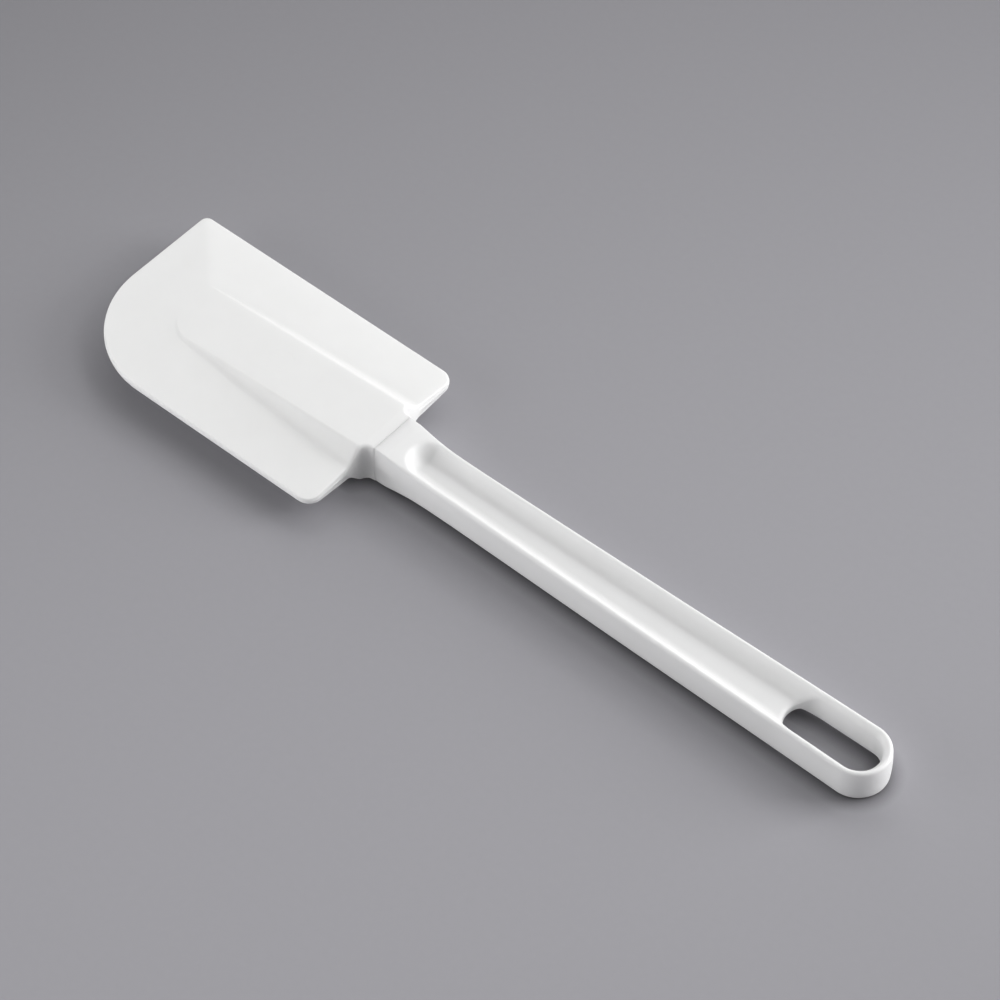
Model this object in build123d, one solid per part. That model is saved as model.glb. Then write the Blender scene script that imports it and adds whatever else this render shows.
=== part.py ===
"""One-hand rubber bowl scraper: a flexible blade moulded on to a rigid handle.

The two pieces are modelled in a working frame: x runs forward from the seam between blade
and handle, y is sideways, z is up, and both pieces mirror about z = 0. They are then laid at
rest on a flat surface: origin below the middle, +Z up, +X towards the blade's tip.
"""
from build123d import *
import math
import os

# Driving dimensions, millimetres
OVERALL_LENGTH = 343.0      # blade tip to loop end
BLADE_REACH = 126.0         # seam to blade tip
BLADE_WIDTH = 77.0
NECK_LENGTH = 4.2           # seam to the blade's rear edge
EDGE_HALF = 1.3             # half thickness of the wiping edge
FLANGE_SLOPE = 0.095        # rise of the flange per millimetre inwards
SPINE_INSET = 26.0          # from the front and side edges to the spine
SPINE_REAR_HALF = 9.2       # half height of the spine at the blade's rear edge
FLANK_RUN = 0.9             # sideways run of the spine's flanks per millimetre of height
SQUARE_CORNER_R = 3.0
REAR_CORNER_R = 5.5
WIPING_EDGE_R = 0.6
NECK_HOLLOW = 0.28          # share of the neck's widening that is reached halfway along it
SEAM_CHAMFER = 0.35

SEAM_HALF_WIDTH = 9.7
SEAM_HALF_HEIGHT = 8.7
COLLAR_LENGTH = 5.0
COLLAR_FALL = 0.15          # drop of the collar's faces along its length
HEEL_LENGTH = 28.0          # seam to the slim part of the grip
HEEL_SLOPE = 0.17           # fall of the heel's curve where it leaves the collar
GRIP_HALF_WIDTH = 9.2       # where the heel ends
GRIP_HALF_HEIGHT = 6.7
LOOP_HALF_WIDTH = 11.65
LOOP_HALF_HEIGHT = 6.9
RIM_OUTER_R = 1.2
WEB_HALF = 1.8              # half thickness between the two grooves
GROOVE_START = 10.5         # seam to the groove's front end
GROOVE_FRONT_HALF = 7.0     # half width of the groove's mouth at its front end
GROOVE_REAR_HALF = 8.1      # and where it meets the slot
GROOVE_LEAN = 34.0          # degrees that the groove's walls lean
GROOVE_CORNER_R = 3.4       # at the two front corners of the groove's floor
GROOVE_ROOT_R = 2.5
GROOVE_IN_SLOT = 11.5       # how far the groove runs into the slot's opening
SLOT_START = 176.0          # seam to the hanging slot
SLOT_END = 213.5
SLOT_HALF_WIDTH = 8.5

TANG_LENGTH = 86.0
TANG_HALF_WIDTH = 8.0
TANG_ROOT_HALF = 5.5
TANG_TIP_HALF = 2.0
TANG_CORNER_R = 5.0
KEY_HOLE_R = 3.5
KEY_HOLE_X = (22.0, 42.0, 62.0)

HALF_WIDTH = BLADE_WIDTH / 2
FOOT_HALF = EDGE_HALF + FLANGE_SLOPE * SPINE_INSET
SPINE_HALF_WIDTH = HALF_WIDTH - SPINE_INSET
SPINE_FRONT = BLADE_REACH - SPINE_INSET
CORNER_X = BLADE_REACH - HALF_WIDTH         # centre of the blade's round corner
LOOP_END = OVERALL_LENGTH - BLADE_REACH
LOOP_CENTRE = LOOP_END - LOOP_HALF_WIDTH
DEEP = 50.0                 # taller than the whole tool, for through cuts
OVERLAP = 1.0               # how far a feature runs into its neighbour


def mirrored(points):
    """Add the lower half of an upper outline."""
    return points + [(x, -z) for x, z in reversed(points)]


def ring(points):
    """Face inside a closed ring of points."""
    return make_face(Polyline(*points, close=True))


def prism(face, plane, reach):
    """Extrude a face both ways from a plane."""
    return extrude(plane * face, reach, both=True)


def eased(points, radius):
    """Face inside a closed ring of points, with its outermost corners rounded."""
    face = ring(points)
    reach = max(abs(x) for x, _ in points)
    tips = [corner for corner in face.vertices() if abs(corner.X) > reach - radius / 2]
    return fillet(tips, radius)


# Blade

def outline():
    """Plan of the blade: one front corner square, the other on a large radius."""
    diagonal = HALF_WIDTH * math.sqrt(0.5)
    return make_face([
        Line((NECK_LENGTH, -HALF_WIDTH), (BLADE_REACH, -HALF_WIDTH)),
        Line((BLADE_REACH, -HALF_WIDTH), (BLADE_REACH, 0)),
        ThreePointArc((BLADE_REACH, 0), (CORNER_X + diagonal, diagonal), (CORNER_X, HALF_WIDTH)),
        Line((CORNER_X, HALF_WIDTH), (NECK_LENGTH, HALF_WIDTH)),
        Line((NECK_LENGTH, HALF_WIDTH), (NECK_LENGTH, -HALF_WIDTH)),
    ])


def rounded_outline():
    """Plan of the flange with its small corners rounded."""
    face = outline()
    rear_corners = face.vertices().sort_by(Axis.X)[:2]
    face = fillet(rear_corners, REAR_CORNER_R)
    square_corner = face.vertices().sort_by_distance((BLADE_REACH, -HALF_WIDTH, 0))[0]
    return fillet(square_corner, SQUARE_CORNER_R)


def corner_block():
    """Everything in front of and beside the round corner's centre."""
    return Pos(CORNER_X, 0, 0) * Box(DEEP, DEEP, DEEP, align=(Align.MIN, Align.MIN, Align.CENTER))


def flange():
    """Thin at the wiping edge and thicker towards the spine, coned at the round corner."""
    across = mirrored([(-HALF_WIDTH, EDGE_HALF), (-SPINE_HALF_WIDTH, FOOT_HALF),
                       (SPINE_HALF_WIDTH, FOOT_HALF), (HALF_WIDTH, EDGE_HALF)])
    along = mirrored([(0, FOOT_HALF), (SPINE_FRONT, FOOT_HALF), (BLADE_REACH, EDGE_HALF)])
    radial = mirrored([(0, FOOT_HALF), (SPINE_HALF_WIDTH, FOOT_HALF), (HALF_WIDTH, EDGE_HALF)])
    slab = extrude(rounded_outline(), DEEP / 2, both=True)
    slab = slab & prism(eased(across, WIPING_EDGE_R), Plane.YZ, OVERALL_LENGTH)
    slab = slab & prism(eased(along, WIPING_EDGE_R), Plane.XZ, DEEP)
    cone = Pos(CORNER_X, 0, 0) * revolve(Plane.XZ * eased(radial, WIPING_EDGE_R), Axis.Z)
    return (slab - corner_block()) + (cone & corner_block())


def spine_section(x, half_height):
    """Cross-section of the raised spine: flat top, leaning flanks."""
    foot = SPINE_HALF_WIDTH + FLANK_RUN * half_height
    upper = [(-foot, 0), (-SPINE_HALF_WIDTH, half_height), (SPINE_HALF_WIDTH, half_height), (foot, 0)]
    lower = [(SPINE_HALF_WIDTH, -half_height), (-SPINE_HALF_WIDTH, -half_height)]
    return Plane.YZ.offset(x) * ring(upper + lower)


def spine():
    """Raised spine on both faces, running out into the flange and round at the round corner."""
    rear = spine_section(NECK_LENGTH, SPINE_REAR_HALF)
    front = spine_section(SPINE_FRONT, FOOT_HALF)
    body = loft([rear, front], ruled=True)
    share = (SPINE_FRONT - CORNER_X) / (SPINE_FRONT - NECK_LENGTH)
    height = FOOT_HALF + share * (SPINE_REAR_HALF - FOOT_HALF)
    foot = SPINE_HALF_WIDTH + FLANK_RUN * height
    peak = foot / FLANK_RUN
    cone = Pos(CORNER_X, 0, 0) * revolve(Plane.XZ * ring([(0, peak), (foot, 0), (0, -peak)]), Axis.Z)
    return (body - corner_block()) + (body & corner_block() & cone)


def neck():
    """Hollow-sided step from the spine's rear down to the handle's collar."""
    inside = NECK_LENGTH + OVERLAP
    shoulder = SPINE_HALF_WIDTH
    hollow = SEAM_HALF_WIDTH + NECK_HOLLOW * (shoulder - SEAM_HALF_WIDTH)
    plan = make_face([
        Line((0, -SEAM_HALF_WIDTH), (0, SEAM_HALF_WIDTH)),
        ThreePointArc((0, SEAM_HALF_WIDTH), (NECK_LENGTH / 2, hollow), (NECK_LENGTH, shoulder)),
        Line((NECK_LENGTH, shoulder), (inside, shoulder)),
        Line((inside, shoulder), (inside, -shoulder)),
        Line((inside, -shoulder), (NECK_LENGTH, -shoulder)),
        ThreePointArc((NECK_LENGTH, -shoulder), (NECK_LENGTH / 2, -hollow), (0, -SEAM_HALF_WIDTH)),
    ])
    side_view = mirrored([(0, SEAM_HALF_HEIGHT), (NECK_LENGTH, SPINE_REAR_HALF), (inside, FOOT_HALF)])
    body = extrude(plan, DEEP / 2, both=True) & prism(ring(side_view), Plane.XZ, DEEP)
    return chamfer(body.faces().sort_by(Axis.X)[0].edges(), SEAM_CHAMFER)


def blade():
    """Flange, spine and neck as one soft moulding, hollow where the tang sits."""
    return flange() + spine() + neck() - tang()


# Handle

def tang():
    """Flat tongue inside the blade, with holes that key the soft plastic to it."""
    side_view = mirrored([(0, TANG_ROOT_HALF), (TANG_LENGTH, TANG_TIP_HALF)])
    plan = ring([(0, -TANG_HALF_WIDTH), (TANG_LENGTH, -TANG_HALF_WIDTH),
                 (TANG_LENGTH, TANG_HALF_WIDTH), (0, TANG_HALF_WIDTH)])
    plan = fillet(plan.vertices().sort_by(Axis.X)[2:], TANG_CORNER_R)
    plan -= [Pos(x, 0) * Circle(KEY_HOLE_R) for x in KEY_HOLE_X]
    return extrude(plan, DEEP / 2, both=True) & prism(ring(side_view), Plane.XZ, DEEP)


def grip_widening():
    """Half-width gained per millimetre from the heel to the loop."""
    return (LOOP_HALF_WIDTH - GRIP_HALF_WIDTH) / (LOOP_CENTRE - HEEL_LENGTH)


def handle_plan():
    """Plan of the handle: waisted behind the collar, wider again at its round end."""
    waist = (-HEEL_LENGTH, GRIP_HALF_WIDTH)
    widest = (-LOOP_CENTRE, LOOP_HALF_WIDTH)
    side = [
        Spline((0, SEAM_HALF_WIDTH), waist, tangents=[(-1, 0), (-1, grip_widening())]),
        Line(waist, widest),
    ]
    loop = ThreePointArc(widest, (-LOOP_END, 0), (-LOOP_CENTRE, -LOOP_HALF_WIDTH))
    seam = Line((0, SEAM_HALF_WIDTH), (0, -SEAM_HALF_WIDTH))
    return make_face(side + [edge.mirror(Plane.XZ) for edge in side] + [loop, seam])


def handle_side():
    """Side view: a straight collar, then a hollow curve down to the slim grip."""
    collar = (-COLLAR_LENGTH, SEAM_HALF_HEIGHT - COLLAR_FALL)
    waist = (-HEEL_LENGTH, GRIP_HALF_HEIGHT)
    end = (-LOOP_END - OVERLAP, LOOP_HALF_HEIGHT)
    top = [
        Line((0, SEAM_HALF_HEIGHT), collar),
        Spline(collar, waist, tangents=[(-1, -HEEL_SLOPE), (-1, 0)]),
        Line(waist, end),
    ]
    ends = [Line((x, z), (x, -z)) for x, z in [(0, SEAM_HALF_HEIGHT), end]]
    return make_face(top + [edge.mirror(Plane.XZ) for edge in top] + ends)


def groove():
    """Cutter for the thumb groove: leaning walls and a rounded root."""
    run = (GRIP_HALF_HEIGHT - WEB_HALF) * math.tan(math.radians(GROOVE_LEAN))
    front = -GROOVE_START - run
    end = -SLOT_START - GROOVE_IN_SLOT
    plan = ring([(front, run - GROOVE_FRONT_HALF), (front, GROOVE_FRONT_HALF - run),
                 (end, GROOVE_REAR_HALF - run), (end, run - GROOVE_REAR_HALF)])
    plan = fillet(plan.vertices().sort_by(Axis.X)[2:], GROOVE_CORNER_R)
    cutter = extrude(Plane.XY.offset(WEB_HALF) * plan, 2 * GRIP_HALF_HEIGHT, taper=-GROOVE_LEAN)
    return fillet(cutter.faces().sort_by(Axis.Z)[0].edges(), GROOVE_ROOT_R)


def slot():
    """Cutter for the hanging slot."""
    plan = SlotOverall(SLOT_END - SLOT_START, 2 * SLOT_HALF_WIDTH)
    return extrude(Pos(-(SLOT_START + SLOT_END) / 2, 0, 0) * plan, DEEP / 2, both=True)


def handle():
    """Rigid grip with a groove on each face, a hanging slot, a collar and the tang."""
    body = extrude(handle_plan(), DEEP / 2, both=True) & prism(handle_side(), Plane.XZ, DEEP)
    faces = body.faces().filter_by(lambda face: abs(face.normal_at().Z) > 0.5)
    faces = faces.filter_by(lambda face: face.center().X < -COLLAR_LENGTH)
    rims = faces.edges().filter_by(lambda edge: edge.length > HEEL_LENGTH - COLLAR_LENGTH)
    body = fillet(rims, RIM_OUTER_R)
    body = chamfer(body.faces().sort_by(Axis.X)[-1].edges(), SEAM_CHAMFER)
    body = body - groove() - mirror(groove(), Plane.XY) - slot()
    return body + tang()


def at_rest(pieces):
    """Tip the pieces so that heel and loop both touch the ground, and centre them over the origin."""
    pitch = math.degrees(math.atan2(SPINE_REAR_HALF - LOOP_HALF_HEIGHT, NECK_LENGTH + LOOP_END))
    tipped = [Rot(0, -pitch, 0) * piece for piece in pieces]
    box = Compound(tipped).bounding_box()
    middle = box.center()
    return [Pos(-middle.X, -middle.Y, -box.min.Z) * piece for piece in tipped]


if __name__ == "__main__":
    os.makedirs("parts", exist_ok=True)
    for name, piece in zip(("blade", "handle"), at_rest([blade(), handle()])):
        export_step(piece, f"parts/{name}.step")
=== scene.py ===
"""One-hand rubber bowl scraper, lying at rest on a pale studio floor.

The two finer pieces are worked out in the tool's own frame, in millimetres: x runs forward from
the seam between handle and blade, y sideways, z up from the tool's middle plane. rest() lays
them down in the row frame.
"""
import math

import bpy
from mathutils import Matrix, Vector


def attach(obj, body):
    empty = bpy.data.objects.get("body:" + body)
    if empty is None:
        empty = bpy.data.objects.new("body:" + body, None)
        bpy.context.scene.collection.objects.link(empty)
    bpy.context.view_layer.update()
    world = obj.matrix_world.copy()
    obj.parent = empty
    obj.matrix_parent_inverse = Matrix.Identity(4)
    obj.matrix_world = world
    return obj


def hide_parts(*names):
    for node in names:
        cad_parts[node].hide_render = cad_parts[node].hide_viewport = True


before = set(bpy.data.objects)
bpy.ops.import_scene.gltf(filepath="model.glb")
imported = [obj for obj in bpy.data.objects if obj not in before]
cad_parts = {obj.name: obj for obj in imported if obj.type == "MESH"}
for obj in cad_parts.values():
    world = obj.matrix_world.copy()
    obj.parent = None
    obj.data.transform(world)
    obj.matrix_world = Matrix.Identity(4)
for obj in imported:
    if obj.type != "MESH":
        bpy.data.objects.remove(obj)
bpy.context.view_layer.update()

MM = 0.001

# The tool at rest
HEEL_Z = 9.2                # half height of the spine at the blade's rear edge
LOOP_Z = 6.9                # half height at the loop's end
BLADE_REACH = 126.0         # from the seam to the wiping edge
HANDLE_REACH = 217.0        # from the seam to the loop's end
NECK = 4.2                  # radius of the quarter-round hollows beside the neck
PITCH = math.atan2(HEEL_Z - LOOP_Z, NECK + HANDLE_REACH)
SHIFT_X = 45.523            # where the seam's middle lies in the row frame
SHIFT_Z = 9.156
BOW = 0.38                  # the handle sags by this much between collar and loop
BOW_IN = (2.0, 24.0)        # it sets in and fades out over these stretches behind the seam
BOW_OUT = (70.0, 180.0)
LOOP_LIFT = 0.3             # the loop curves up again by this much
LOOP_LIFT_IN = (120.0, 200.0)

# Blade
HALF_WIDTH = 38.5
EDGE_HALF = 1.3             # half thickness at the outline
TAPER = 0.095               # the flange's half thickness grows by this per millimetre inwards
SPINE_INSET = 26.0          # from the outline to the edge of the spine's top
SPINE_HALF = HALF_WIDTH - SPINE_INSET
SPINE_FRONT = BLADE_REACH - SPINE_INSET
FOOT = EDGE_HALF + TAPER * SPINE_INSET
FLANK_RUN = 0.9             # the spine's flank runs out this far per millimetre down
ROUND_CENTRE = BLADE_REACH - HALF_WIDTH
SQUARE_R = 3.0
REAR_R = 5.5
LIP_R = 0.5                 # rounding along the blade's outline
LEDGE = 0.08                # thin ledge left at the middle plane where the mould halves meet
LEDGE_RISE = 0.05           # the lip comes up from it over this width
LEDGE_HALF = 0.25
NECK_LIP_R = 1.3            # fuller rounding round the neck's hollows
NECK_LIP_FADE = (9.0, 5.0)  # it takes over between these distances from a hollow's centre
NECK_LIP_START = 2.5        # and grows over this length in front of the seam
SPINE_EDGE_SOFT = 0.8       # roundings of the spine, at its top edge and at its foot
SPINE_ROOT_SOFT = 1.9
SPINE_ROOT_SHARE = 0.9      # at most this share of the spine's own height
HIP_SOFT = 1.2              # rounding of the ridge that runs in from the square corner
HIP_SHARE = 0.3             # at most this share of the distance from the edge
DISC_X = 53.5               # the sunken ejector disc
DISC_DEPTH = 0.05
DISC_RIM = (5.1, 5.6)       # it comes up between these radii
SMALL_MARKS = (             # x, y, stretch along x, radius, rise
    (60.0, -29.0, 1.0, 0.7, 0.06),
    (106.6, 5.4, 1.0, 0.6, -0.04),
    (5.5, 0.5, 1.6, 0.6, -0.04),
)

# Neck and seam
SEAM_HALF_WIDTH = 9.65
NECK_TOP_FALL = 0.035       # fall of the neck's top per millimetre towards the seam
LIP_LENGTH = 1.1            # bevelled end of the neck
LIP_FALL = 0.18
SEAM_V = 0.05               # each piece's edge is broken by this much at the seam
NECK_WIDE = SEAM_HALF_WIDTH + NECK
NECK_REACH = 3 * NECK       # no point beyond this lies near a hollow's wall

# Handle
COLLAR_Z = 8.75             # half height at the seam
COLLAR_LENGTH = 5.0
COLLAR_FALL = 0.03
COLLAR_DIP = 0.03           # faint line left just behind the seam by the second moulding
COLLAR_DIP_X = 1.2
COLLAR_DIP_HALF = 1.0
WAIST_X = 28.0              # the hollow curve behind the collar ends here
WAIST_Z = 6.7
HEEL_SLOPE = 0.20           # slope of the hollow curve where it leaves the collar
WAIST_HALF = 9.35
WIDENING_START = 36.0       # behind this the grip widens evenly to the loop
LOOP_HALF = 11.45
LOOP_CENTRE = HANDLE_REACH - LOOP_HALF
RIM_R = 1.2                 # rounding of the rims' outer edges
COLLAR_EDGE_R = 0.3         # and of the collar's
EDGE_GROWS = (3.0, 18.0)    # the edges grow from the collar's radius to the rims' over this stretch
MOUTH_INSET = 1.5           # from the outline to the groove's mouth
WALL_SLOPE = 1.25           # the groove's walls fall by this much per millimetre inwards
WEB_HALF = 1.8              # half thickness of the web between the two grooves
GROOVE_ROOT_SOFT = 2.2      # roundings of the groove, at its foot and at its mouth
RIM_SOFT = 0.7
FRONT_STEEPER = 1.12        # the groove's front wall against its side walls
GROOVE_FRONT = 9.3          # the mouth's round front begins this far behind the seam
SLOT_START = 176.0
SLOT_END = 213.5
SLOT_HALF = 8.35
SLOT_EDGE_R = 0.6
SIDE_DRAFT = 0.22           # how far the side walls lean in towards the rims
UPRIGHT_SHARE = 0.18        # below this share of the height they stand upright
LEAN_CURVE = 1.5            # above it they lean more and more
MOULD_STEP = 0.035          # step in the collar's side walls where the mould halves meet
MOULD_STEP_OUT = (6.0, 18.0)    # it fades out over this stretch
MOULD_LINE = (1.15, 1.25)   # and lies between these depths below the middle plane
RAIL_WIDTH = 2.3            # mesh lines follow a rail of this width beside the groove
RAIL_STEPS = 5
RAILS_TO_SLOT = (120.0, 170.0)  # over this stretch the rails widen to reach the slot
ROWS_BEND = 150.0           # behind this the rows bend to follow the slot's front end

SAME_LINE = 0.004           # grid lines closer than this are one line
ON_SLOT = 0.05              # a border point nearer to the slot than this is on its wall


def low(a, b, soft):
    """The lower of two heights, rounded where they cross."""
    if soft <= 0:
        return min(a, b)
    return min(a, b) - soft / 4 * max(0.0, 1 - abs(a - b) / soft) ** 2


def high(a, b, soft):
    """The higher of two heights, rounded where they cross."""
    return -low(-a, -b, soft)


def eased(share):
    """A share from 0 to 1 with a smooth start and end."""
    share = min(1.0, max(0.0, share))
    return share * share * (3 - 2 * share)


def ramp(value, start, end):
    """0 at the start and 1 at the end, with a smooth run between."""
    return eased((value - start) / (end - start))


def bow(x):
    """How far the handle's faint bow lifts its middle line."""
    sag = BOW * ramp(-x, *BOW_IN) * (1 - ramp(-x, *BOW_OUT))
    return LOOP_LIFT * ramp(-x, *LOOP_LIFT_IN) - sag


def rest(x, y, z):
    """A point of the tool's own frame, laid at rest, in metres."""
    c, s = math.cos(PITCH), math.sin(PITCH)
    z += bow(x)
    return Vector((x * c - z * s + SHIFT_X, y, x * s + z * c + SHIFT_Z)) * MM


def round_drop(distance, radius):
    """How far a rounded edge lies below the face, at a distance in from the wall."""
    inward = max(0.0, radius - max(0.0, distance))
    return radius - math.sqrt(max(0.0, radius * radius - inward * inward))


def evenly(start, end, step):
    """Values from start to end, about a step apart."""
    count = max(1, round(abs(end - start) / step))
    return [start + (end - start) * i / count for i in range(count + 1)]


def lines(*runs):
    """Grid lines: all the runs' values in order, near-equal ones merged."""
    values = sorted(v for run in runs for v in run)
    kept = [values[0]]
    for v in values[1:]:
        if v - kept[-1] > SAME_LINE:
            kept.append(v)
    return kept


EDGE_TURNS = [math.radians(a) for a in (0, 18, 36, 54, 72, 90)]


def edge_steps(radius):
    """Distances in from a wall that follow a rounded edge evenly."""
    return [radius * (1 - math.cos(a)) for a in EDGE_TURNS]


# Solid pieces from one upper sheet

def plan_normals(points, border):
    """Outward normal in plan at each point of the sheet's border."""
    sums = {}
    for a, b in border:
        run = Vector((points[b][0] - points[a][0], points[b][1] - points[a][1]))
        out = Vector((run.y, -run.x))
        if out.length > 0:
            out.normalize()
        for v in (a, b):
            sums[v] = sums.get(v, Vector((0, 0))) + out
    return {v: n.normalized() for v, n in sums.items()}


def solid_piece(name, points, cells, levels):
    """Mirror an upper sheet below the middle plane and join the two along the border.

    levels(x, y, top) lists (height, outward offset) for the wall below a border point.
    """
    edges = {}
    for cell in cells:
        for a, b in zip(cell, cell[1:] + cell[:1]):
            edges[(a, b)] = True
    border = [(a, b) for (a, b) in edges if (b, a) not in edges]
    normals = plan_normals(points, border)
    size = len(points)
    verts = list(points) + [(x, y, -z) for x, y, z in points]
    faces = list(cells) + [tuple(reversed([v + size for v in cell])) for cell in cells]
    columns = {}
    for v, normal in normals.items():
        x, y, z = points[v]
        column = [v]
        for height, offset in levels(x, y, z):
            verts.append((x + normal.x * offset, y + normal.y * offset, height))
            column.append(len(verts) - 1)
        columns[v] = column + [v + size]
    for a, b in border:
        for k in range(len(columns[a]) - 1):
            faces.append((columns[b][k], columns[a][k], columns[a][k + 1], columns[b][k + 1]))
    mesh = bpy.data.meshes.new(name)
    mesh.from_pydata([rest(*v) for v in verts], [], faces)
    mesh.validate()
    mesh.polygons.foreach_set("use_smooth", [True] * len(mesh.polygons))
    obj = bpy.data.objects.new(name, mesh)
    bpy.context.collection.objects.link(obj)
    return obj


def grid_cells(index, rows, columns):
    """Quads between neighbouring grid points, counter-clockwise from above."""
    cells = []
    for i in range(rows - 1):
        for j in range(columns - 1):
            corners = [(i, j), (i + 1, j), (i + 1, j + 1), (i, j + 1)]
            if all(c in index for c in corners):
                cells.append(tuple(index[c] for c in corners))
    return cells


# Blade

CORNERS = [                 # each corner's centre, and the way out from it along x and along y
    (ROUND_CENTRE, 0.0, 1, 1),
    (BLADE_REACH - SQUARE_R, SQUARE_R - HALF_WIDTH, 1, -1),
    (NECK + REAR_R, HALF_WIDTH - REAR_R, -1, 1),
    (NECK + REAR_R, REAR_R - HALF_WIDTH, -1, -1),
]


def corner_rounded(u, v):
    """Move a point of the blade's rectangle on to its plan with rounded corners, ring by ring."""
    for cx, cy, sx, sy in CORNERS:
        a, b = (u - cx) * sx, (v - cy) * sy
        if a > 0 and b > 0:
            ring = max(a, b)
            turn = math.pi / 4 * min(a, b) / ring
            if b > a:
                turn = math.pi / 2 - turn
            return cx + sx * ring * math.cos(turn), cy + sy * ring * math.sin(turn)
    return u, v


def neck_half(x):
    """Half width of the neck: a quarter-round hollow that runs out into the blade's rear edge."""
    hollow = NECK - math.sqrt(max(0.0, NECK * NECK - x * x))
    return SEAM_HALF_WIDTH + hollow - max(0.0, SEAM_V - x)


def spine_top(x):
    """Half height along the spine: it falls to the front and, in the neck, to the seam."""
    if x > NECK:
        return HEEL_Z - (x - NECK) * (HEEL_Z - FOOT) / (SPINE_FRONT - NECK)
    lip = LIP_FALL * max(0.0, 1 - x / LIP_LENGTH)
    return HEEL_Z - (NECK - x) * NECK_TOP_FALL - lip - max(0.0, SEAM_V - x)


def bump(distance, width):
    """A small smooth hump, one at the middle and nought beyond the width."""
    share = min(1.0, abs(distance) / width)
    return (1 - share * share) ** 2


def blade_marks(x, y):
    """Low relief left by the mould: a sunken ejector disc, a raised dot and two faint nicks."""
    height = -DISC_DEPTH * (1 - ramp(math.hypot(x - DISC_X, y), *DISC_RIM))
    for mark_x, mark_y, stretch, radius, rise in SMALL_MARKS:
        height += rise * bump(math.hypot((x - mark_x) / stretch, y - mark_y), radius)
    return height


def outline_edge(body, wall, x, y):
    """Shape a face's outer edge: a rounded lip above a thin ledge, or a full round at the neck."""
    around = math.hypot(x, NECK_WIDE - abs(y))
    neck = ramp(around, *NECK_LIP_FADE)
    radius = LIP_R + (NECK_LIP_R - LIP_R) * neck * ramp(x, 0, NECK_LIP_START)
    start = (LEDGE + LEDGE_RISE) * (1 - neck)
    lip = body - round_drop(wall - start, radius)
    sunk = 1 - min(1.0, max(0.0, (wall - LEDGE) / LEDGE_RISE))
    return lip - (lip - LEDGE_HALF) * sunk * (1 - neck)


def blade_height(u, v, x, y):
    """Upper surface at plan point (x, y), which sits at (u, v) of the blade's rectangle."""
    to_front, to_side = BLADE_REACH - u, HALF_WIDTH - abs(v)
    edge = min(to_front, to_side)
    if v < 0:
        edge = low(to_front, to_side, min(HIP_SOFT, HIP_SHARE * edge))
    flange = EDGE_HALF + TAPER * min(edge, SPINE_INSET)
    top = spine_top(x)
    aside = max(abs(v if u >= NECK else y) - SPINE_HALF, u - SPINE_FRONT)
    spine = low(top, top - aside / FLANK_RUN, SPINE_EDGE_SOFT)
    body = high(flange, spine, min(SPINE_ROOT_SOFT, SPINE_ROOT_SHARE * (top - FOOT)))
    wall = edge
    if abs(y) < NECK_WIDE:
        if x < NECK_REACH:
            wall = min(wall, math.hypot(x, NECK_WIDE - abs(y)) - NECK)
    else:
        wall = min(wall, u - NECK)
    return outline_edge(body, wall, x, y) + blade_marks(x, y)


def upright_levels(x, y, top):
    """The blade's wall stands upright."""
    return [(top * share, 0.0) for share in (0.5, 0.0, -0.5)]


ACROSS_RUNS = (             # from, to and step of the lines across the blade's middle
    (19.5, 10.5, 0.35),     # the spine's flank
    (10.5, 6.0, 0.75),
    (6.0, 0.0, 0.25),       # the ejector disc
)
ALONG_RUNS = (              # and of the lines along it
    (NECK + NECK_LIP_R, 46.0, 1.1),
    (46.0, 61.0, 0.25),     # the ejector disc
    (61.0, ROUND_CENTRE, 1.1),
    (ROUND_CENTRE, 96.0, 0.9),
    (96.0, 103.0, 0.35),    # the spine's front
)
SEAM_LINES = [0.0, SEAM_V, 2 * SEAM_V, 0.3]


def blade_lines():
    """Grid lines along and across the blade's rectangle, close together at its edges and roundings."""
    rim = [0.0, LEDGE - 0.02, LEDGE + LEDGE_RISE / 2]
    rim += [LEDGE + LEDGE_RISE + d for d in edge_steps(LIP_R)]
    neck_lip = edge_steps(NECK_LIP_R)
    hollow = [NECK * math.sin(math.radians(a)) for a in range(0, 91, 9)]
    along = lines(SEAM_LINES, [0.7, LIP_LENGTH], hollow,
                  [NECK + d for d in neck_lip], [NECK + d for d in rim],
                  *[evenly(*run) for run in ALONG_RUNS],
                  evenly(ALONG_RUNS[-1][1], BLADE_REACH - rim[-1], 1.1), [BLADE_REACH - d for d in rim])
    across = lines([HALF_WIDTH - d for d in rim], evenly(HALF_WIDTH - rim[-1], ACROSS_RUNS[0][0], 1.0),
                   *[evenly(*run) for run in ACROSS_RUNS],
                   [NECK_WIDE - d * NECK_WIDE / SEAM_HALF_WIDTH for d in neck_lip])
    return along, [-v for v in reversed(across)] + across[1:]


def blade():
    """Its sheet is laid out on a rectangle, whose corners and neck are then drawn in."""
    along, across = blade_lines()
    points, index = [], {}
    for i, u in enumerate(along):
        for j, v in enumerate(across):
            if u < NECK - SAME_LINE / 2:
                if abs(v) > NECK_WIDE + SAME_LINE / 2:
                    continue
                x, y = u, v * neck_half(u) / NECK_WIDE
            else:
                x, y = corner_rounded(u, v)
            index[(i, j)] = len(points)
            points.append((x, y, blade_height(u, v, x, y)))
    cells = grid_cells(index, len(along), len(across))
    return solid_piece("blade_moulding", points, cells, upright_levels)


# Handle

def handle_half(x):
    """Half width at a distance x behind the seam."""
    heel = SEAM_HALF_WIDTH - (SEAM_HALF_WIDTH - WAIST_HALF) * eased(x / WAIST_X)
    grip = (LOOP_HALF - WAIST_HALF) * max(0.0, x - WIDENING_START) / (LOOP_CENTRE - WIDENING_START)
    return heel + grip - max(0.0, SEAM_V - x)


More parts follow.
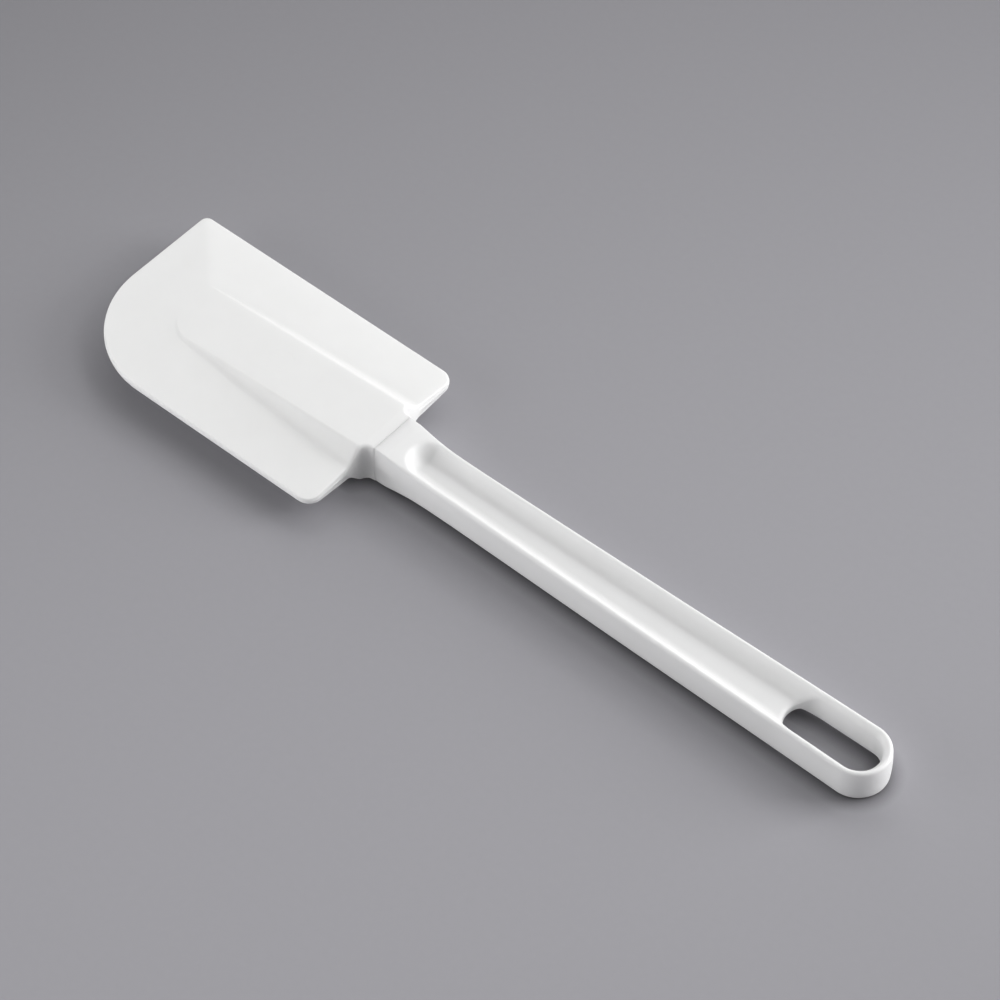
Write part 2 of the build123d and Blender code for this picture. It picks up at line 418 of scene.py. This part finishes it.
def handle_top(x):
    """Half height: a straight collar, a hollow curve down to the waist, then nearly level."""
    if x < COLLAR_LENGTH:
        dip = COLLAR_DIP * bump(x - COLLAR_DIP_X, COLLAR_DIP_HALF)
        return COLLAR_Z - COLLAR_FALL * x - max(0.0, SEAM_V - x) - dip
    if x < WAIST_X:
        run = WAIST_X - COLLAR_LENGTH
        share = (x - COLLAR_LENGTH) / run
        start = COLLAR_Z - COLLAR_FALL * COLLAR_LENGTH
        fall = start - WAIST_Z
        steep = HEEL_SLOPE * run / fall
        return start - fall * (1 - (1 - share) ** steep)
    return WAIST_Z + (LOOP_Z - WAIST_Z) * (x - WAIST_X) / (HANDLE_REACH - WAIST_X)


def edge_radius(x):
    """The rims' outer edges are crisp at the collar and full behind it."""
    return COLLAR_EDGE_R + (RIM_R - COLLAR_EDGE_R) * ramp(x, *EDGE_GROWS)


def handle_height(x, y, wall, slot_wall):
    """Upper surface x behind the seam, given the distances to the outline and to the slot."""
    top = handle_top(x)
    mouth = handle_half(min(x, LOOP_CENTRE)) - MOUTH_INSET
    inside = wall - MOUTH_INSET
    front_centre = GROOVE_FRONT + mouth
    if x < front_centre:
        inside = min(inside, FRONT_STEEPER * (mouth - math.hypot(front_centre - x, y)))
    groove = high(WEB_HALF, top - WALL_SLOPE * inside, GROOVE_ROOT_SOFT)
    body = low(top, groove, RIM_SOFT)
    return body - round_drop(wall, edge_radius(x)) - round_drop(slot_wall, SLOT_EDGE_R)


def slot_distance(x, y):
    """Distance from the slot's edge, x behind the seam."""
    centre = min(max(x, SLOT_START + SLOT_HALF), SLOT_END - SLOT_HALF)
    return math.hypot(x - centre, y) - SLOT_HALF


def side_levels(x, y, top):
    """The wall below a rim: upright in the slot; outside it leans out first and has a mould line."""
    if slot_distance(-x, y) < ON_SLOT:
        return [(top * k, 0.0) for k in (0.75, 0.5, 0.25, 0.0, -0.25, -0.5, -0.75)]
    levels = []
    step = MOULD_STEP * (1 - ramp(-x, *MOULD_STEP_OUT))
    for share in (0.8, 0.6, 0.42, 0.3, UPRIGHT_SHARE):
        lean = ((share - UPRIGHT_SHARE) / (1 - UPRIGHT_SHARE)) ** LEAN_CURVE
        levels.append((top * share, SIDE_DRAFT * (1 - lean)))
    line_start, line_end = MOULD_LINE
    levels += [(0.0, SIDE_DRAFT), (-line_start, SIDE_DRAFT), (-line_end, SIDE_DRAFT - step)]
    # The leaning part comes again below, upside down
    levels += [(-z, offset) for z, offset in reversed(levels[:4])]
    return levels


def rail_offsets(x, width):
    """Distances in from the outline across one rim."""
    radius = edge_radius(x)
    steps = [radius + (width - radius) * k / RAIL_STEPS for k in range(1, RAIL_STEPS + 1)]
    return edge_steps(radius) + steps


GROOVE_SHARES = [math.sin(math.radians(a)) for a in range(-90, 91, 4)]
RAIL_LINES = len(EDGE_TURNS) + RAIL_STEPS
COLUMNS = 2 * RAIL_LINES + len(GROOVE_SHARES) - 2
SLOT_FRONT = SLOT_START + SLOT_HALF     # centres of the slot's two round ends
SLOT_BACK = SLOT_END - SLOT_HALF


class HandleSheet:
    """The handle's upper sheet while it is laid out; each point is kept under a key."""

    def __init__(self):
        self.points = []
        self.index = {}

    def add(self, key, x, y, wall):
        """Keep the surface point x behind the seam; wall is its distance from the outline."""
        slot_wall = max(0.0, slot_distance(x, y))
        self.index[key] = len(self.points)
        self.points.append((-x, y, handle_height(x, y, wall, slot_wall)))


def add_shaft(sheet, stations):
    """Rows across the grip, from the seam back; the last ones bend to follow the slot's front end."""
    for i, station in enumerate(stations):
        half = handle_half(station) - SIDE_DRAFT
        blend = ramp(station, *RAILS_TO_SLOT)
        inner = (half - RAIL_WIDTH) * (1 - blend) + SLOT_HALF * blend
        offsets = rail_offsets(station, half - inner)
        for k, d in enumerate(offsets[:-1]):
            sheet.add((i, k), station, half - d, d)
            sheet.add((i, COLUMNS - 1 - k), station, d - half, d)
        for k, share in enumerate(GROOVE_SHARES):
            y = -inner * share
            # Where this line meets the slot's round front end
            arch = SLOT_FRONT - math.sqrt(max(0.0, SLOT_HALF ** 2 - (SLOT_HALF * share) ** 2))
            x = station
            if station > ROWS_BEND:
                x = ROWS_BEND + (station - ROWS_BEND) * (arch - ROWS_BEND) / (SLOT_FRONT - ROWS_BEND)
            sheet.add((i, RAIL_LINES - 1 + k), x, y, handle_half(x) - SIDE_DRAFT - abs(y))


def add_beside_slot(sheet, track):
    """Both rails beside the slot; their inner lines end level with the slot's back centre."""
    shorter = (LOOP_CENTRE - SLOT_BACK) / (LOOP_CENTRE - SLOT_FRONT)
    for r, way in enumerate(track):
        half = handle_half(SLOT_FRONT + way) - SIDE_DRAFT
        for k, d in enumerate(rail_offsets(SLOT_FRONT + way, half - SLOT_HALF)):
            inward = k / (RAIL_LINES - 1)
            x = SLOT_FRONT + way * (1 - inward * shorter)
            for side, key in ((1, "left"), (-1, "right")):
                sheet.add((key, r, k), x, side * (half - d), d)


def add_round_end(sheet, turns):
    """The loop's round end, from its left side to its right."""
    half = handle_half(LOOP_CENTRE) - SIDE_DRAFT
    outer = LOOP_HALF - SIDE_DRAFT
    for r, turn in enumerate(turns):
        for k, d in enumerate(rail_offsets(LOOP_CENTRE, half - SLOT_HALF)):
            x = LOOP_CENTRE + (outer - d) * math.sin(turn)
            y = (outer - d) * math.cos(turn)
            if k == RAIL_LINES - 1:
                x = SLOT_BACK + SLOT_HALF * math.sin(turn)
                y = SLOT_HALF * math.cos(turn)
            sheet.add(("turn", r, k), x, y, d)


def handle():
    """Rows across the grip, close together at its front, and then a rail round the slot."""
    stations = lines(SEAM_LINES, [0.55, 0.8, 1.1, 1.4, 1.7], evenly(2.1, WIDENING_START, 0.7),
                     evenly(WIDENING_START, ROWS_BEND, 2.0), evenly(ROWS_BEND, SLOT_FRONT, 1.2))
    track = evenly(0.0, LOOP_CENTRE - SLOT_FRONT, 1.2)[1:]
    turns = [math.radians(a) for a in range(3, 180, 3)]
    sheet = HandleSheet()
    add_shaft(sheet, stations)
    add_beside_slot(sheet, track)
    add_round_end(sheet, turns)
    cells = grid_cells(sheet.index, len(stations), COLUMNS)
    # One chain of rail sections runs from the shaft's left side round the loop to its right side
    last = len(stations) - 1
    chain = [[(last, k) for k in range(RAIL_LINES)]]
    chain += [[("left", r, k) for k in range(RAIL_LINES)] for r in range(len(track))]
    chain += [[("turn", r, k) for k in range(RAIL_LINES)] for r in range(len(turns))]
    chain += [[("right", r, k) for k in range(RAIL_LINES)] for r in reversed(range(len(track)))]
    chain.append([(last, COLUMNS - 1 - k) for k in range(RAIL_LINES)])
    for here, there in zip(chain, chain[1:]):
        for k in range(RAIL_LINES - 1):
            corners = (here[k], there[k], there[k + 1], here[k + 1])
            cells.append(tuple(sheet.index[key] for key in corners))
    return solid_piece("handle_moulding", sheet.points, cells, side_levels)


# Materials

HOLLOW_REACH = 6 * MM       # surfaces closer than this shade a hollow, or the floor below them
FLOOR_SIZE = 8.0
FLOOR_DARK = (0.392, 0.386, 0.414)
FLOOR_PALE = (0.408, 0.402, 0.431)
# The painted light on the floor is e to a sum of these terms, with x and y in metres
FALLOFF = {"even": 0.019, "x": -0.185, "y": 1.029, "xx": -1.96, "xy": 0.13, "yy": -1.03}
FALLOFF_LEAST = -0.6
FALLOFF_MOST = 0.25
# hollows is how dark the painted shade in the pieces' hollows gets, as a share of the colour
BLADE_FINISH = {"colour": (0.90, 0.90, 0.895), "rough": 0.52, "grain": 0.35, "hollows": 0.5}
HANDLE_FINISH = {"colour": (0.86, 0.86, 0.86), "rough": 0.40, "grain": 0.25, "hollows": 0.98}
MOTTLE = 0.985              # the darker patches against the colour
GLOSS_SPREAD = 0.05


class Shading:
    """A material's nodes, with short calls that add one."""

    def __init__(self, name):
        self.material = bpy.data.materials.new(name)
        self.material.use_nodes = True
        self.tree = self.material.node_tree
        self.shader = self.tree.nodes["Principled BSDF"]
        self.place = self.add("TexCoord", {}).outputs["Object"]

    def fill(self, node, inputs):
        """Set a node's inputs to plain values, or join them to other nodes' outputs."""
        for key, value in inputs.items():
            if isinstance(value, bpy.types.NodeSocket):
                self.tree.links.new(value, node.inputs[key])
            else:
                node.inputs[key].default_value = value
        return node

    def add(self, kind, inputs, operation=None):
        """A new node with these inputs."""
        node = self.tree.nodes.new("ShaderNode" + kind)
        if operation:
            node.operation = operation
        return self.fill(node, inputs)

    def noise(self, scale, detail):
        """Noise of this scale, in repeats to the metre."""
        inputs = {"Scale": scale, "Detail": detail, "Vector": self.place}
        return self.add("TexNoise", inputs).outputs["Fac"]

    def tint(self, share, dark, pale, start=0.0, end=1.0):
        """A colour from dark to pale, as the share goes from start to end."""
        node = self.add("ValToRGB", {"Fac": share})
        first, last = node.color_ramp.elements
        first.position, last.position = start, end
        first.color, last.color = (*dark, 1), (*pale, 1)
        return node.outputs["Color"]

    def scaled(self, colour, factor):
        """The colour times a factor."""
        return self.add("VectorMath", {0: colour, "Scale": factor}, "SCALE").outputs[0]


def plastic(name, colour, rough, grain, hollows):
    """White moulded plastic: faint mottling, uneven gloss, fine texture, painted shade in tight
    hollows.
    """
    shading = Shading(name)
    mottled = shading.tint(shading.noise(90, 4), [c * MOTTLE for c in colour], colour, 0.3, 0.7)
    # Painted shade: the colour darkens where the piece's own surfaces close in round a point, in its
    # hollows and creases.
    room = shading.add("AmbientOcclusion", {"Distance": HOLLOW_REACH})
    room.only_local = True
    painted_shade = shading.add("MapRange", {
        "Value": room.outputs["AO"], "From Min": 0.45, "From Max": 0.85, "To Min": hollows,
    })
    gloss = shading.add("MapRange", {
        "Value": shading.noise(260, 6), "From Min": 0.3, "From Max": 0.7,
        "To Min": rough - GLOSS_SPREAD, "To Max": rough + GLOSS_SPREAD,
    })
    relief = shading.add("Bump", {
        "Height": shading.noise(1400, 3), "Strength": grain, "Distance": 0.05 * MM,
    })
    shading.fill(shading.shader, {
        "Base Color": shading.scaled(mottled, painted_shade.outputs["Result"]),
        "Roughness": gloss.outputs["Result"],
        "Normal": relief.outputs["Normal"],
        "IOR": 1.47,
        "Subsurface Weight": 0.6,
        "Subsurface Radius": (1, 1, 1),
        "Subsurface Scale": 2.6 * MM,
    })
    return shading.material


def painted_floor_light(shading):
    """Painted light on the sheet: its brightness falls off gently away from the middle."""
    apart = shading.add("SeparateXYZ", {"Vector": shading.place})
    x, y = apart.outputs["X"], apart.outputs["Y"]
    total = FALLOFF["even"]
    for term, first, second in (("x", x, 1.0), ("y", y, 1.0), ("xx", x, x), ("xy", x, y), ("yy", y, y)):
        product = shading.add("Math", {0: first, 1: second}, "MULTIPLY").outputs[0]
        total = shading.add("Math", {0: product, 1: FALLOFF[term], 2: total}, "MULTIPLY_ADD").outputs[0]
    held = shading.add("Clamp", {"Value": total, "Min": FALLOFF_LEAST, "Max": FALLOFF_MOST})
    return shading.add("Math", {0: held.outputs["Result"]}, "EXPONENT").outputs[0]


def contact_shade(shading):
    """A deeper shade on the sheet close under the tool."""
    room = shading.add("AmbientOcclusion", {"Distance": HOLLOW_REACH})
    shade = shading.add("MapRange", {"Value": room.outputs["AO"], "From Min": 0.4, "To Min": 0.35})
    return shade.outputs["Result"]


def floor():
    """The pale grey sheet that the tool lies on."""
    bpy.ops.mesh.primitive_plane_add(size=FLOOR_SIZE, location=(0, 0, 0))
    plane = bpy.context.object
    plane.name = "floor"
    shading = Shading("floor")
    grain = shading.tint(shading.noise(350, 5), FLOOR_DARK, FLOOR_PALE)
    # Painted light and painted shadow: the sheet's colour is scaled by the painted falloff of light and
    # the painted contact shadow under the tool.
    inputs = {0: painted_floor_light(shading), 1: contact_shade(shading)}
    level = shading.add("Math", inputs, "MULTIPLY").outputs[0]
    shading.fill(shading.shader, {"Base Color": shading.scaled(grain, level), "Roughness": 0.85})
    plane.data.materials.append(shading.material)


# Camera and light

LENS = 145.686              # millimetres
SENSOR = 36.0
LOOK_AT = Vector((0.001578, -0.006694, 0.00916))
VIEW_AZIMUTH = 221.230
VIEW_ELEVATION = 50.251
VIEW_ROLL = -0.659
VIEW_DISTANCE = 1.40479
WORLD_LEVEL = 0.20
LIGHTS = (                  # name, azimuth, elevation, watts; then distance and size if not usual
    ("key_low", 225, 18, 6.30),
    ("key_high", 247.5, 45, 1.73),
    ("key_side", 202.5, 45, 1.28),
    ("rim", 292.5, 45, 1.44),
    ("rim_low", 315, 18, 0.74),
    ("front", 337.5, 45, 0.75),
    ("left_low", 45, 18, 1.41),
    ("left_wide", 64, 18, 3.4, 1.8, 0.9),
)
FILLS = (                   # these reach the object only, so that its shadow on the floor stays deep
    ("fill_low", 45, 18, 0.60),
    ("fill_high", 67.5, 45, 1.10),
    ("fill_back", 210, 12, 1.3),
    ("bounce", 52, -40, 0.85, 0.6, 0.4),    # light thrown back up on to the near side wall
    ("fill_over", 50, 8, 0.24, 0.46, 0.2),
)


def look_in(obj, way):
    """Turn a camera or light so that it looks along this direction."""
    obj.rotation_mode = "QUATERNION"
    obj.rotation_quaternion = way.to_track_quat("-Z", "Y")


def camera():
    """The photograph's view."""
    a, e = math.radians(VIEW_AZIMUTH), math.radians(VIEW_ELEVATION)
    back = Vector((math.sin(a) * math.cos(e), -math.cos(a) * math.cos(e), math.sin(e)))
    data = bpy.data.cameras.new("camera")
    data.lens = LENS
    data.sensor_width = SENSOR
    data.clip_end = 20
    obj = bpy.data.objects.new("camera", data)
    bpy.context.collection.objects.link(obj)
    look_in(obj, -back)
    obj.rotation_quaternion @= Matrix.Rotation(math.radians(VIEW_ROLL), 3, "Z").to_quaternion()
    obj.location = LOOK_AT + back * VIEW_DISTANCE
    bpy.context.scene.camera = obj


def area_light(name, azimuth, elevation, power, distance=1.0, size=0.5):
    """A square light that shines at the middle; its azimuth counts from +X towards +Y."""
    a, e = math.radians(azimuth), math.radians(elevation)
    way = Vector((math.cos(a) * math.cos(e), math.sin(a) * math.cos(e), math.sin(e)))
    data = bpy.data.lights.new(name, "AREA")
    data.shape = "SQUARE"
    data.size = size
    data.energy = power
    obj = bpy.data.objects.new(name, data)
    bpy.context.collection.objects.link(obj)
    obj.location = way * distance
    look_in(obj, -way)
    return obj


def light(pieces):
    """A pale studio: an even surround, the lights, and the fills for the pieces alone."""
    world = bpy.data.worlds.new("studio")
    bpy.context.scene.world = world
    world.use_nodes = True
    surround = world.node_tree.nodes["Background"]
    surround.inputs["Color"].default_value = (1, 1, 1, 1)
    surround.inputs["Strength"].default_value = WORLD_LEVEL
    for entry in LIGHTS:
        area_light(*entry)
    lit = bpy.data.collections.new("lit_by_fills")
    for piece in pieces:
        lit.objects.link(piece)
    for entry in FILLS:
        fill = area_light(*entry)
        fill.light_linking.receiver_collection = lit
        fill.light_linking.blocker_collection = lit


# The scene

bpy.context.scene.view_settings.view_transform = "Standard"
camera()
floor()
built = []
for build, node, slot, finish in (
    (blade, "blade", "blade_plastic", BLADE_FINISH),
    (handle, "handle", "handle_plastic", HANDLE_FINISH),
):
    piece = build()
    piece.data.materials.append(plastic(slot, **finish))
    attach(piece, "root")
    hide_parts(node)
    built.append(piece)
light(built)
